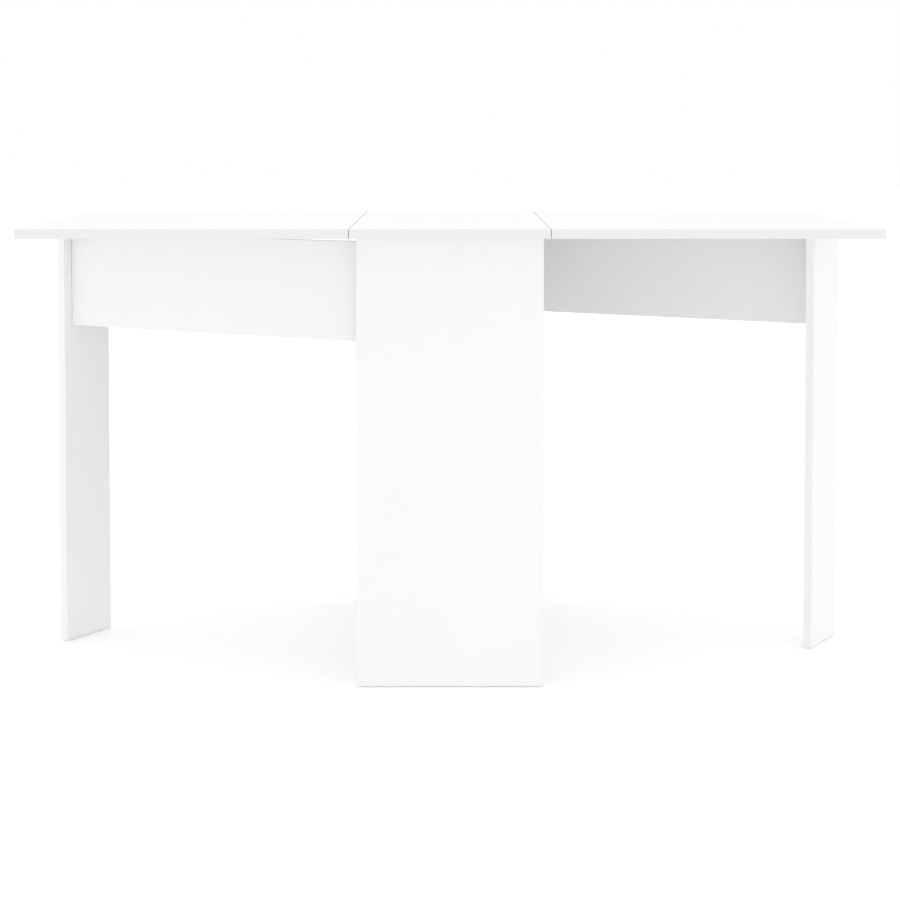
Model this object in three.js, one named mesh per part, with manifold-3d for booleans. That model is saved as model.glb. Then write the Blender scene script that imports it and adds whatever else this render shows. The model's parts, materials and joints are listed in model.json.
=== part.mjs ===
// Gateleg table in white laminated board, with both leaves up and both gates open.
//
// A narrow fixed top stands on a front and a rear panel, joined by a spine. A leaf hinges on each
// long side of the fixed top, and rests on a gate: a rail and a flat leg that swing out from one
// panel on butt hinges. The right half is the left half given half a turn about the table's centre.
//
// Millimetres. +X runs along the table, +Y to the rear, +Z up. The origin is on the floor, under
// the centre of the top.

import * as THREE from 'three';
import { mergeVertices } from 'three/addons/utils/BufferGeometryUtils.js';
import Module from 'manifold-3d';

const wasm = await Module();
wasm.setup();

// ---- Overall sizes ----
const TABLE_LENGTH = 1400;
const TABLE_WIDTH = 800;
const TABLE_HEIGHT = 758;
const BOARD = 15;

// ---- Clearances ----
const CONTACT_GAP = 0.3;
const SEAM_GAP = 0.8;
const GATE_TOP_GAP = 1;
const GATE_SWING_GAP = 1;
const STOP_GAP = 0.5;

// ---- Fixed top, panels and spine ----
const TOP_SIDE_OVERHANG = 9.5;
const PANEL_SETBACK = 58;
const SPINE_FLOOR_GAP = 60;

// ---- Gates ----
const GATE_OPEN_ANGLE = 60.5;
const GATE_RECESS = 3;
const GATE_LEG_SPINE_GAP = 19;
const GATE_RAIL_HEIGHT = 165;
const GATE_RAIL_DROP = 9;
const GATE_RAIL_END_GAP = 1;
const GATE_LEG_WIDTH = 124;
const GATE_LEG_OVERHANG = 20;

// ---- Butt hinges ----
const LEAF_HINGE = { length: 60, fixedWidth: 28, movingWidth: 28, thickness: 1.5, barrel: 2.5, pin: 1.2 };
const GATE_HINGE = { length: 50, fixedWidth: 15, movingWidth: 22, thickness: 1.5, barrel: 3, pin: 1.5 };
const LEAF_HINGE_LEG_GAP = 22;
const GATE_HINGE_END_DISTANCE = 35;
const KNUCKLE_GAP = 0.4;
const PIN_HEAD_LIP = 0.7;
const PIN_HEAD_THICKNESS = 0.8;
const MIDDLE_KNUCKLE_SHARE = 0.4;

// ---- Stops, brackets and glides ----
const STOP = { length: 30, width: 12, height: 16, corner: 3, fromLeg: 20 };
const BRACKET = { leg: 25, thickness: 2, width: 20, inside: 3 };
const PANEL_BRACKET_OFFSET = 60;
const SPINE_BRACKET_OFFSET = 110;
const GLIDE = { radius: 6.5, height: 2, edge: 0.8, nail: 1.2, nailLength: 12 };
const GLIDE_EDGE_DISTANCE = 25;

// ---- Cam fittings and dowels ----
const CAM = { radius: 7.5, behindBolt: 5, sink: 0.2, fromEnd: 34, slot: 4.2 };
const CAM_BOLT = {
  thread: 2.5, threadLength: 11, collar: 3.4, collarLength: 2,
  shaft: 2, head: 3.3, headLength: 3,
};
const CAM_EDGE_DISTANCE = 90;
const BOLT_BORE = 4;
const DOWEL = { radius: 4, length: 30, inLeg: 10, chamfer: 0.8 };
const DOWEL_END_DISTANCE = 30;

// ---- Facets round a full circle ----
const FINE = 16;
const COARSE = 12;

// ---- Heights and places worked out from the sizes above ----
const TOP_UNDERSIDE = TABLE_HEIGHT - BOARD;
const BASE_TOP = TOP_UNDERSIDE - CONTACT_GAP;
const CAM_HEIGHTS = { lower: SPINE_FLOOR_GAP + CAM_EDGE_DISTANCE, upper: BASE_TOP - CAM_EDGE_DISTANCE };

// A panel is as wide as the spine and a folded gate leg on each side of it, and the seams stand
// a little outside it.
const PANEL_WIDTH = BOARD + 2 * (GATE_LEG_SPINE_GAP + GATE_LEG_WIDTH + GATE_RECESS);
const SEAM_X = PANEL_WIDTH / 2 + TOP_SIDE_OVERHANG;
const PANEL_INNER_Y = TABLE_WIDTH / 2 - PANEL_SETBACK - BOARD;
const PANEL_MIDDLE_Y = PANEL_INNER_Y + BOARD / 2;
const GATE_RAIL_TOP = TOP_UNDERSIDE - GATE_RAIL_DROP;
const GATE_RAIL_BOTTOM = GATE_RAIL_TOP - GATE_RAIL_HEIGHT;

// The pin stands a barrel's radius clear of both the panel and the rail's outer face.
const GATE_PIN_OFFSET = GATE_HINGE.barrel + CONTACT_GAP;
const GATE_PIN_X = PANEL_WIDTH / 2 - GATE_RECESS - GATE_LEG_OVERHANG + GATE_PIN_OFFSET;
const GATE_PIN_Y = PANEL_INNER_Y - GATE_PIN_OFFSET;

// In a gate's own frame the rail runs along +X from the pin, and its outer face looks to +Y.
const RAIL_OUTER_Y = -GATE_PIN_OFFSET;
const RAIL_MIDDLE_Y = RAIL_OUTER_Y - BOARD / 2;
const LEG_OUTER_Y = RAIL_OUTER_Y + GATE_LEG_OVERHANG;
const LEG_INNER_Y = LEG_OUTER_Y - GATE_LEG_WIDTH;

// As the gate folds, the leg's inner corner has to swing past the opposite panel. With the gate
// open, its outer corner has to stay under the leaf. The shorter of the two sets the gate's length.
const OPEN_GATE_TURN = THREE.MathUtils.degToRad(GATE_OPEN_ANGLE - 90);
const GATE_SWING_RADIUS = 2 * PANEL_INNER_Y - GATE_PIN_OFFSET - GATE_SWING_GAP;
const FOLDED_REACH = Math.sqrt(GATE_SWING_RADIUS ** 2 - LEG_INNER_Y ** 2);
const OUTER_CORNER_SHIFT = LEG_OUTER_Y * Math.sin(OPEN_GATE_TURN);
const OPEN_REACH = (TABLE_LENGTH / 2 - GATE_PIN_X + OUTER_CORNER_SHIFT) / Math.cos(OPEN_GATE_TURN);
const LEG_FAR_X = Math.min(FOLDED_REACH, OPEN_REACH);
const LEG_NEAR_X = LEG_FAR_X - BOARD;

// The leaf hinges stand clear of the path of a gate's leg under the seam.
const LEAF_HINGE_Y = LEG_NEAR_X - GATE_PIN_Y - LEAF_HINGE_LEG_GAP - LEAF_HINGE.length / 2;

// ---- Finishes ----
function finish(color, roughness, metalness = 0) {
  return () => new THREE.MeshStandardMaterial({ color, roughness, metalness });
}

const whiteBoard = finish(0xf1f1ef, 0.45);
const nickelSteel = finish(0xb9bbbd, 0.35, 1);
const zincCasting = finish(0x9a9c9f, 0.5, 1);
const whiteNylon = finish(0xe4e4e0, 0.55);
const beech = finish(0xd9b98a, 0.7);

// ---- Solids ----
function toSolid(geometry, matrix = new THREE.Matrix4()) {
  const bare = geometry.clone().applyMatrix4(matrix);
  bare.deleteAttribute('normal');
  bare.deleteAttribute('uv');
  const merged = mergeVertices(bare, 1e-4);
  return new wasm.Manifold(new wasm.Mesh({
    numProp: 3,
    vertProperties: merged.attributes.position.array,
    triVerts: new Uint32Array(merged.index.array),
  }));
}

function toGeometry(solid) {
  const { vertProperties, triVerts } = solid.getMesh();
  const geometry = new THREE.BufferGeometry();
  geometry.setAttribute('position', new THREE.BufferAttribute(vertProperties, 3));
  geometry.setIndex(new THREE.BufferAttribute(triVerts, 1));
  geometry.computeVertexNormals();
  return geometry;
}

// A box given by its lowest and highest corner.
function boxBetween(low, high) {
  const size = high.map((value, i) => value - low[i]);
  const middle = high.map((value, i) => (value + low[i]) / 2);
  return new THREE.BoxGeometry(...size).translate(...middle);
}

// A drill of the given radius from one point to another, for cutting a bore.
function drill(from, to, radius) {
  const start = new THREE.Vector3(...from);
  const run = new THREE.Vector3(...to).sub(start);
  const turn = new THREE.Quaternion().setFromUnitVectors(
    new THREE.Vector3(0, 1, 0), run.clone().normalize());
  const middle = start.addScaledVector(run, 0.5);
  const matrix = new THREE.Matrix4().compose(middle, turn, new THREE.Vector3(1, 1, 1));
  return toSolid(new THREE.CylinderGeometry(radius, radius, run.length(), COARSE), matrix);
}

function cut(geometry, tools) {
  return toGeometry(tools.reduce((solid, tool) => solid.subtract(tool), toSolid(geometry)));
}

// A turned piece: its profile is a list of [radius, height], and its axis is +Z.
function turned(profile, facets) {
  const points = profile.map(([radius, height]) => new THREE.Vector2(radius, height));
  return new THREE.LatheGeometry(points, facets).rotateX(Math.PI / 2);
}

function mesh(name, geometry, makeMaterial) {
  const piece = new THREE.Mesh(geometry, makeMaterial());
  piece.name = name;
  return piece;
}

function groupAt(x, y, z, turnZ, pieces) {
  const group = new THREE.Group();
  group.position.set(x, y, z);
  group.rotation.z = turnZ;
  group.add(...pieces);
  return group;
}

// The two halves of the table. The left half is drawn as the right half given half a turn.
const HALVES = [
  { side: 'right', panel: 'rear', turnZ: 0 },
  { side: 'left', panel: 'front', turnZ: Math.PI },
];

// ---- Butt hinges ----
// A hinge's frame has its pin along +Z, its plate along +X, and its screwed face towards +Y.
function barrelSection(hinge) {
  const { barrel, thickness } = hinge;
  const inner = barrel - thickness;
  const plateRoot = barrel + KNUCKLE_GAP + thickness;
  const meet = Math.acos(inner / barrel);
  const section = new THREE.Shape();
  section.moveTo(plateRoot, barrel);
  section.lineTo(0, barrel);
  section.absarc(0, 0, barrel, Math.PI / 2, 2 * Math.PI + Math.PI / 2 - meet, false);
  section.lineTo(plateRoot, inner);
  section.closePath();
  const bore = new THREE.Path();
  bore.absarc(0, 0, hinge.pin + CONTACT_GAP, 0, 2 * Math.PI, true);
  section.holes.push(bore);
  return section;
}

function knuckle(hinge, from, to) {
  const options = { depth: to - from, bevelEnabled: false, curveSegments: COARSE };
  return toSolid(new THREE.ExtrudeGeometry(barrelSection(hinge), options).translate(0, 0, from));
}

function hingePlate(hinge, width, knuckles) {
  const half = hinge.length / 2;
  const low = [hinge.barrel + KNUCKLE_GAP, hinge.barrel - hinge.thickness, -half];
  const plate = toSolid(boxBetween(low, [width, hinge.barrel, half]));
  return toGeometry(knuckles.reduce((solid, [from, to]) => solid.add(knuckle(hinge, from, to)), plate));
}

function fixedPlate(hinge) {
  const half = hinge.length / 2;
  const inner = MIDDLE_KNUCKLE_SHARE * half + KNUCKLE_GAP;
  return hingePlate(hinge, hinge.fixedWidth, [[-half, -inner], [inner, half]]);
}

function movingPlate(hinge) {
  const middle = MIDDLE_KNUCKLE_SHARE * hinge.length / 2;
  return hingePlate(hinge, hinge.movingWidth, [[-middle, middle]]);
}

function hingePin(hinge) {
  const end = hinge.length / 2 + CONTACT_GAP;
  const head = hinge.pin + PIN_HEAD_LIP;
  const crown = end + PIN_HEAD_THICKNESS;
  return turned([
    [0, -crown], [hinge.pin, -crown], [head, -end], [hinge.pin, -end],
    [hinge.pin, end], [head, end], [hinge.pin, crown], [0, crown],
  ], COARSE);
}

// ---- Cam fittings, dowels, glides, stops and brackets ----
// A cam lies in the spine's face at the origin, opens to +X and faces its bolt along +Y.
function camBody() {
  const face = BOARD / 2 - CAM.sink;
  const barrel = drill([-CAM.behindBolt, 0, 0], [face, 0, 0], CAM.radius);
  const slotLow = [-CAM.slot, -CAM.slot, -CAM.slot];
  const slotHigh = [CAM.slot, CAM.radius + 1, CAM.slot];
  return toGeometry(barrel.subtract(toSolid(boxBetween(slotLow, slotHigh))));
}

function camPocket(y, z, toEnd, open) {
  const floor = -CAM.behindBolt - CONTACT_GAP;
  return [
    drill([open * floor, y, z], [open * BOARD, y, z], CAM.radius + CONTACT_GAP),
    drill([0, y, z], [0, y + toEnd * CAM.fromEnd * 2, z], BOLT_BORE),
  ];
}

// A bolt's axis is +Z, with its thread above the joint and its head below, in the cam.
function camBolt() {
  const { thread, threadLength, collar, collarLength, shaft, head, headLength } = CAM_BOLT;
  const headTop = -CAM.fromEnd + headLength;
  return turned([
    [0, -CAM.fromEnd], [head, -CAM.fromEnd], [head, headTop], [shaft, headTop + 1],
    [shaft, -collarLength], [collar, -collarLength], [collar, -CONTACT_GAP], [thread, -CONTACT_GAP],
    [thread, threadLength - 1], [thread - 1, threadLength], [0, threadLength],
  ], COARSE);
}

function dowel() {
  const { radius, length, chamfer } = DOWEL;
  const half = length / 2;
  return turned([
    [0, -half], [radius - chamfer, -half], [radius, chamfer - half],
    [radius, half - chamfer], [radius - chamfer, half], [0, half],
  ], COARSE);
}

function glide() {
  const { radius, height, edge, nail, nailLength } = GLIDE;
  return turned([
    [0, 0], [radius - edge, 0], [radius, edge], [radius, height - CONTACT_GAP],
    [nail, height - CONTACT_GAP], [nail, height + nailLength], [0, height + nailLength + nail],
  ], FINE);
}

function glideHole(x, y) {
  const top = GLIDE.height + GLIDE.nailLength + GLIDE.nail + CONTACT_GAP;
  return drill([x, y, GLIDE.height - 1], [x, y, top], GLIDE.nail + CONTACT_GAP);
}

function stopBlock() {
  const { length, width, height, corner } = STOP;
  const x = length / 2;
  const y = width / 2;
  const outline = new THREE.Shape();
  outline.absarc(x - corner, y - corner, corner, 0, Math.PI / 2, false);
  outline.absarc(corner - x, y - corner, corner, Math.PI / 2, Math.PI, false);
  outline.absarc(corner - x, corner - y, corner, Math.PI, 1.5 * Math.PI, false);
  outline.absarc(x - corner, corner - y, corner, 1.5 * Math.PI, 2 * Math.PI, false);
  return new THREE.ExtrudeGeometry(outline, { depth: height, bevelEnabled: false, curveSegments: 4 });
}

// An angle bracket in its own frame: one leg on the board behind it at -Y, one under the top.
function bracket() {
  const { leg, thickness, width, inside } = BRACKET;
  const outline = new THREE.Shape();
  outline.moveTo(0, 0);
  outline.lineTo(leg, 0);
  outline.lineTo(leg, -thickness);
  outline.lineTo(thickness + inside, -thickness);
  outline.absarc(thickness + inside, -thickness - inside, inside, Math.PI / 2, Math.PI, false);
  outline.lineTo(thickness, -leg);
  outline.lineTo(0, -leg);
  outline.closePath();
  const strip = new THREE.ExtrudeGeometry(outline, { depth: width, bevelEnabled: false, curveSegments: 6 });
  const turn = new THREE.Matrix4().makeBasis(
    new THREE.Vector3(0, 1, 0), new THREE.Vector3(0, 0, 1), new THREE.Vector3(1, 0, 0));
  return strip.translate(0, 0, -width / 2).applyMatrix4(turn);
}

// ---- The top ----
function centreTop() {
  const low = [-SEAM_X + SEAM_GAP / 2, -TABLE_WIDTH / 2, TOP_UNDERSIDE];
  const high = [SEAM_X - SEAM_GAP / 2, TABLE_WIDTH / 2, TABLE_HEIGHT];
  return mesh('centre_top', boxBetween(low, high), whiteBoard);
}

function leaf(side) {
  const low = [SEAM_X + SEAM_GAP / 2, -TABLE_WIDTH / 2, TOP_UNDERSIDE];
  const high = [TABLE_LENGTH / 2, TABLE_WIDTH / 2, TABLE_HEIGHT];
  return mesh(`${side}_leaf`, boxBetween(low, high), whiteBoard);
}

function leafHinge(side, place, y) {
  const name = `${side}_leaf_hinge_${place}`;
  const pieces = [
    { part: 'moving_plate', geometry: movingPlate(LEAF_HINGE), turnZ: 0 },
    { part: 'fixed_plate', geometry: fixedPlate(LEAF_HINGE), turnZ: Math.PI },
    { part: 'pin', geometry: hingePin(LEAF_HINGE), turnZ: 0 },
  ].map(({ part, geometry, turnZ }) => {
    const laid = geometry.rotateX(Math.PI / 2);
    return groupAt(0, 0, 0, turnZ, [mesh(`${name}_${part}`, laid, nickelSteel)]);
  });
  const pinZ = BASE_TOP - LEAF_HINGE.barrel;
  return groupAt(SEAM_X, y, pinZ, 0, pieces);
}

// The stop is fixed under the leaf, where the open gate's rail meets it.
function gateStop(side) {
  const x = LEG_NEAR_X - STOP.fromLeg - STOP.length / 2;
  const y = RAIL_OUTER_Y + STOP_GAP + STOP.width / 2;
  const piece = mesh(`${side}_gate_stop`, stopBlock(), whiteNylon);
  piece.position.set(x, y, BASE_TOP - STOP.height);
  return groupAt(GATE_PIN_X, GATE_PIN_Y, 0, OPEN_GATE_TURN, [piece]);
}

// ---- The base ----
function panel(name) {
  const glideX = PANEL_WIDTH / 2 - GLIDE_EDGE_DISTANCE;
  const board = boxBetween(
    [-PANEL_WIDTH / 2, PANEL_INNER_Y, GLIDE.height],
    [PANEL_WIDTH / 2, PANEL_INNER_Y + BOARD, BASE_TOP]);
  const boltHoles = Object.values(CAM_HEIGHTS).map((z) => drill(
    [0, PANEL_INNER_Y - BOARD, z],
    [0, PANEL_INNER_Y + CAM_BOLT.threadLength + CONTACT_GAP, z],
    CAM_BOLT.thread + CONTACT_GAP));
  const glideHoles = [-glideX, glideX].map((x) => glideHole(x, PANEL_MIDDLE_Y));
  return [
    mesh(`${name}_panel`, cut(board, [...boltHoles, ...glideHoles]), whiteBoard),
    ...panelGlides(name, glideX),
    ...panelCams(name),
  ];
}

function panelGlides(name, glideX) {
  const ends = name === 'rear' ? ['left', 'right'] : ['right', 'left'];
  return ends.map((end, i) => {
    const piece = mesh(`${name}_panel_glide_${end}`, glide(), whiteNylon);
    piece.position.set(i === 0 ? -glideX : glideX, PANEL_MIDDLE_Y, 0);
    return piece;
  });
}

function panelCams(name) {
  return Object.entries(CAM_HEIGHTS).flatMap(([level, z]) => {
    const cam = mesh(`${name}_${level}_cam`, camBody(), zincCasting);
    cam.position.set(0, PANEL_INNER_Y - CAM.fromEnd, z);
    const bolt = mesh(`${name}_${level}_cam_bolt`, camBolt(), zincCasting);
    bolt.position.set(0, PANEL_INNER_Y, z);
    bolt.rotation.x = -Math.PI / 2;
    return [cam, bolt];
  });
}

// The spine joins the panels, and takes both panels' cams.
function spine() {
  const end = PANEL_INNER_Y - CONTACT_GAP;
  const board = boxBetween([-BOARD / 2, -end, SPINE_FLOOR_GAP], [BOARD / 2, end, BASE_TOP]);
  const camY = PANEL_INNER_Y - CAM.fromEnd;
  const pockets = Object.values(CAM_HEIGHTS).flatMap((z) => [
    ...camPocket(camY, z, 1, 1),
    ...camPocket(-camY, z, -1, -1),
  ]);
  return mesh('spine', cut(board, pockets), whiteBoard);
}

function panelBracket(panelName) {
  const piece = mesh(`${panelName}_panel_bracket`, bracket(), nickelSteel);
  const backY = PANEL_INNER_Y - CONTACT_GAP;
  return groupAt(PANEL_BRACKET_OFFSET, backY, BASE_TOP, Math.PI, [piece]);
}

function spineBracket(side) {
  const piece = mesh(`spine_bracket_${side}`, bracket(), nickelSteel);
  const backX = BOARD / 2 + CONTACT_GAP;
  return groupAt(backX, SPINE_BRACKET_OFFSET, BASE_TOP, -Math.PI / 2, [piece]);
}

// ---- The gates ----
// A folded gate points from its own panel to the opposite one, and swings out from there.
function dowelHeights() {
  return {
    lower: GATE_RAIL_BOTTOM + DOWEL_END_DISTANCE,
    upper: GATE_RAIL_TOP - DOWEL_END_DISTANCE,
  };
}

function dowelBore(z) {
  const from = LEG_NEAR_X + DOWEL.inLeg - DOWEL.length - CONTACT_GAP;
  const to = LEG_NEAR_X + DOWEL.inLeg + CONTACT_GAP;
  return drill([from, RAIL_MIDDLE_Y, z], [to, RAIL_MIDDLE_Y, z], DOWEL.radius + CONTACT_GAP);
}

function gateRail(side) {
  const board = boxBetween(
    [GATE_RAIL_END_GAP - GATE_PIN_OFFSET, RAIL_OUTER_Y - BOARD, GATE_RAIL_BOTTOM],
    [LEG_NEAR_X - CONTACT_GAP, RAIL_OUTER_Y, GATE_RAIL_TOP]);
  const bores = Object.values(dowelHeights()).map(dowelBore);
  return mesh(`${side}_gate_rail`, cut(board, bores), whiteBoard);
}

function gateLeg(side) {
  const board = boxBetween(
    [LEG_NEAR_X, LEG_INNER_Y, GLIDE.height],
    [LEG_FAR_X, LEG_OUTER_Y, TOP_UNDERSIDE - GATE_TOP_GAP]);
  const bores = Object.values(dowelHeights()).map(dowelBore);
  const x = LEG_NEAR_X + BOARD / 2;
  const places = {
    outer: LEG_OUTER_Y - GLIDE_EDGE_DISTANCE,
    inner: LEG_INNER_Y + GLIDE_EDGE_DISTANCE,
  };
  const holes = Object.values(places).map((y) => glideHole(x, y));
  const glides = Object.entries(places).map(([place, y]) => {
    const piece = mesh(`${side}_gate_glide_${place}`, glide(), whiteNylon);
    piece.position.set(x, y, 0);
    return piece;
  });
  return [mesh(`${side}_gate_leg`, cut(board, [...bores, ...holes]), whiteBoard), ...glides];
}

function gateDowels(side) {
  return Object.entries(dowelHeights()).map(([level, z]) => {
    const piece = mesh(`${side}_gate_dowel_${level}`, dowel(), beech);
    piece.rotation.y = Math.PI / 2;
    piece.position.set(LEG_NEAR_X + DOWEL.inLeg - DOWEL.length / 2, RAIL_MIDDLE_Y, z);
    return piece;
  });
}

function gateHingeLevels() {
  return {
    lower: GATE_RAIL_BOTTOM + GATE_HINGE_END_DISTANCE,
    upper: GATE_RAIL_TOP - GATE_HINGE_END_DISTANCE,
  };
}

// The moving plates lie on the rail's outer face, so their screwed face looks to -Y.
function movingGatePlates(side) {
  return Object.entries(gateHingeLevels()).map(([level, z]) => {
    const geometry = movingPlate(GATE_HINGE).rotateX(Math.PI);
    const piece = mesh(`${side}_gate_hinge_${level}_moving_plate`, geometry, nickelSteel);
    piece.position.z = z;
    return piece;
  });
}

function fixedGatePlates(side) {
  return Object.entries(gateHingeLevels()).flatMap(([level, z]) => {
    const name = `${side}_gate_hinge_${level}`;
    const plate = mesh(`${name}_fixed_plate`, fixedPlate(GATE_HINGE), nickelSteel);
    const pin = mesh(`${name}_pin`, hingePin(GATE_HINGE), nickelSteel);
    plate.position.z = z;
    pin.position.z = z;
    return [plate, pin];
  });
}

function gate(side) {
  const pieces = [gateRail(side), ...gateLeg(side), ...gateDowels(side), ...movingGatePlates(side)];
  return groupAt(GATE_PIN_X, GATE_PIN_Y, 0, OPEN_GATE_TURN, pieces);
}

// ---- The table ----
function halfTable({ side, panel: panelName, turnZ }) {
  const away = turnZ === 0 ? ['front', 'rear'] : ['rear', 'front'];
  return groupAt(0, 0, 0, turnZ, [
    leaf(side),
    leafHinge(side, away[0], -LEAF_HINGE_Y),
    leafHinge(side, away[1], LEAF_HINGE_Y),
    gateStop(side),
    ...panel(panelName),
    panelBracket(panelName),
    spineBracket(side),
    groupAt(GATE_PIN_X, GATE_PIN_Y, 0, 0, fixedGatePlates(side)),
    gate(side),
  ]);
}

const table = new THREE.Group();
table.add(centreTop(), spine(), ...HALVES.map(halfTable));

export default table;
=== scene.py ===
# Gateleg table: the finished pieces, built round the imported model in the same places.
#
# The file is laid out as an add-on and run as a script. Each operator makes one group of like
# pieces, and the last one makes the studio. Lengths are metres, +X runs along the table, +Y to the
# rear and +Z up. Sizes and places come from the model's own nodes wherever it has them.

import json
import math

import bmesh
import bpy
from bpy.props import FloatProperty, FloatVectorProperty, IntProperty, PointerProperty
from bpy.types import Operator, Panel, PropertyGroup
from mathutils import Matrix, Vector
from mathutils.bvhtree import BVHTree

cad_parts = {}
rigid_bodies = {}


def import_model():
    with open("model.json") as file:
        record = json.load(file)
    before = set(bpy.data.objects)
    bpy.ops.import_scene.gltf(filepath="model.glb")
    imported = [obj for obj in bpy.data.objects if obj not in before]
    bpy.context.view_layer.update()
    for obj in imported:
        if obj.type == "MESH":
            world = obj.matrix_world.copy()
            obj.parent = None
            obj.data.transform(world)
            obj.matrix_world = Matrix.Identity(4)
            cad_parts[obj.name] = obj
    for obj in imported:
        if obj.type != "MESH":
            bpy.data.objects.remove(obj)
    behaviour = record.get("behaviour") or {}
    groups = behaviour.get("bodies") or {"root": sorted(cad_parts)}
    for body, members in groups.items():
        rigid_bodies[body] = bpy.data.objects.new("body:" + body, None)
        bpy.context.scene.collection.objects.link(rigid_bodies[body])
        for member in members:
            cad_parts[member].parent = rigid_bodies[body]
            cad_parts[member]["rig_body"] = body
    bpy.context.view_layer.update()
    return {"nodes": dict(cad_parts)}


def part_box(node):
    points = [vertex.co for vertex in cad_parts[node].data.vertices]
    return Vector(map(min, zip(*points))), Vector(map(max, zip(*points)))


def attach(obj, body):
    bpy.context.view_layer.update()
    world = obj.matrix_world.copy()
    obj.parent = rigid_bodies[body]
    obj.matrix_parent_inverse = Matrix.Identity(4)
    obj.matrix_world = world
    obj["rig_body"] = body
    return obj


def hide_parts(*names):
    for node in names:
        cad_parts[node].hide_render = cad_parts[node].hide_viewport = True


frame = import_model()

bl_info = {
    "name": "Gateleg Table",
    "version": (1, 0, 0),
    "blender": (4, 5, 0),
    "location": "View3D > Sidebar > Gateleg Table",
    "description": "Finished boards, fittings and studio for a gateleg table",
    "category": "Object",
}

MM = 0.001
NODES = frame["nodes"]
UP = Vector((0, 0, 1))

# Nodes of the model, by what they are made of.
BOARDS = [
    "centre_top", "left_leaf", "right_leaf", "front_panel", "rear_panel", "spine",
    "left_gate_rail", "left_gate_leg", "right_gate_rail", "right_gate_leg",
]
PLATES = sorted(name for name in NODES if name.endswith("_plate"))
PINS = sorted(name for name in NODES if name.endswith("_pin"))
BRACKETS = sorted(name for name in NODES if "bracket" in name)
CAMS = sorted(name for name in NODES if name.endswith("_cam"))
BOLTS = sorted(name for name in NODES if name.endswith("_bolt"))
DOWELS = sorted(name for name in NODES if "_dowel_" in name)
GLIDES = sorted(name for name in NODES if "_glide_" in name)
STOPS = sorted(name for name in NODES if name.endswith("_stop"))

# Material slots of a board's mesh.
LAMINATE, BAND, CORE = range(3)

# A unit normal's share along an axis, from which its face counts as square to that axis.
SQUARE = 0.99

# Edges that turn by more than this many degrees stay creased when a mesh is shaded smooth.
CREASE, BOARD_CREASE, THREAD_CREASE = 32, 35, 50


# ---- Settings ----
def length(name, description, millimetres):
    """A length that a user may change, with its default in millimetres."""
    return FloatProperty(
        name=name, description=description, default=millimetres * MM, min=0, unit="LENGTH", precision=5)


def count(name, description, default):
    """A whole number that a user may change."""
    return IntProperty(name=name, description=description, default=default, min=3)


def colour(name, description, default):
    """A colour that a user may change."""
    return FloatVectorProperty(
        name=name, description=description, default=default, size=3, min=0, max=1, subtype="COLOR")


def power(name, description, watts):
    """A light's power that a user may change."""
    return FloatProperty(name=name, description=description, default=watts, min=0, unit="POWER")


class BoardSettings(PropertyGroup):
    """How the edges of the boards are finished."""
    arris: length("Arris", "Radius that the edge bands are rounded to", 0.4)
    arris_steps: count("Arris Steps", "Flats round each arris", 3)
    band: length("Edge Band", "Thickness of an edge band", 1.3)
    glue_line: length("Glue Line", "Width of the groove between a band and the laminate", 0.24)
    glue_depth: length("Glue Line Depth", "Depth of that groove", 0.1)
    bore_gap: length("Bore Gap", "Room round a fitting in its bore", 0.25)
    bolt_bore: length("Bolt Bore", "Radius of the bore that a cam bolt passes through", 4)


class HingeSettings(PropertyGroup):
    """The butt hinges of the leaves and gates."""
    thickness: length("Thickness", "Thickness of the steel that a plate is stamped from", 1.5)
    corner: length("Corner", "Radius of a plate's outer corners", 3.5)
    edge: length("Edge", "Roundness of a plate's edges", 0.2)
    leaf_pin: length("Leaf Pin", "Radius of a leaf hinge's pin", 1.2)
    gate_pin: length("Gate Pin", "Radius of a gate hinge's pin", 1.5)
    root: length("Root", "How far a plate's flat stands from its barrel", 0.4)
    slit: length("Slit", "Gap where a knuckle's roll closes", 0.3)


class ScrewSettings(PropertyGroup):
    """The countersunk screws."""
    head: length("Head", "Radius of a screw's head", 2.9)
    head_depth: length("Head Depth", "Height of a head's countersink", 1.45)
    shank: length("Shank", "Radius of a screw's shank", 1.2)
    thread: length("Thread", "Height of the thread's ridge", 0.45)
    short: length("Short Screw", "Length of the screws in hinges and brackets", 12)
    long: length("Long Screw", "Length of the screws in the stops", 15)
    recess: length("Recess", "Half the width of the cross in a head", 1.7)
    recess_slot: length("Recess Slot", "Width of one arm of the cross", 0.55)
    recess_depth: length("Recess Depth", "Depth of the cross", 1.1)
    seed: IntProperty(name="Seed", description="Seed for how far each screw is turned", default=7, min=0)


class FittingSettings(PropertyGroup):
    """Brackets, cams, bolts, dowels, glides and stops."""
    bracket_thickness: length("Bracket Steel", "Thickness of an angle bracket", 2)
    bracket_bend: length("Bracket Bend", "Inner radius of a bracket's bend", 3)
    bracket_corner: length("Bracket Corner", "Radius of a bracket's outer corners", 3)
    cam_slot: length("Cam Slot", "Half the width of a cam's slot", 3.8)
    cam_cross: length("Cam Cross", "Half the width of the cross in a cam", 3.4)
    bolt_head: length("Bolt Head", "Radius of a cam bolt's head", 3.3)
    bolt_thread: length("Bolt Thread", "Radius of a cam bolt's thread", 2.5)
    bolt_shaft: length("Bolt Shaft", "Radius of a cam bolt's shaft", 2)
    bolt_collar: length("Bolt Collar", "Radius of a cam bolt's collar", 3.4)
    bolt_pitch: length("Bolt Pitch", "Rise of a cam bolt's thread in one turn", 1.8)
    flutes: count("Flutes", "Flutes round a dowel", 20)
    flute_depth: length("Flute Depth", "Depth of a dowel's flutes", 0.3)
    glide_height: length("Glide Height", "Height of a glide's nylon disc", 1.7)
    glide_nail: length("Glide Nail", "Radius of a glide's nail", 1.2)
    stop_corner: length("Stop Corner", "Radius of a stop's corners", 3)
    stop_well: length("Stop Well", "Depth of the wells that a stop's screws stand in", 9)


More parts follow.
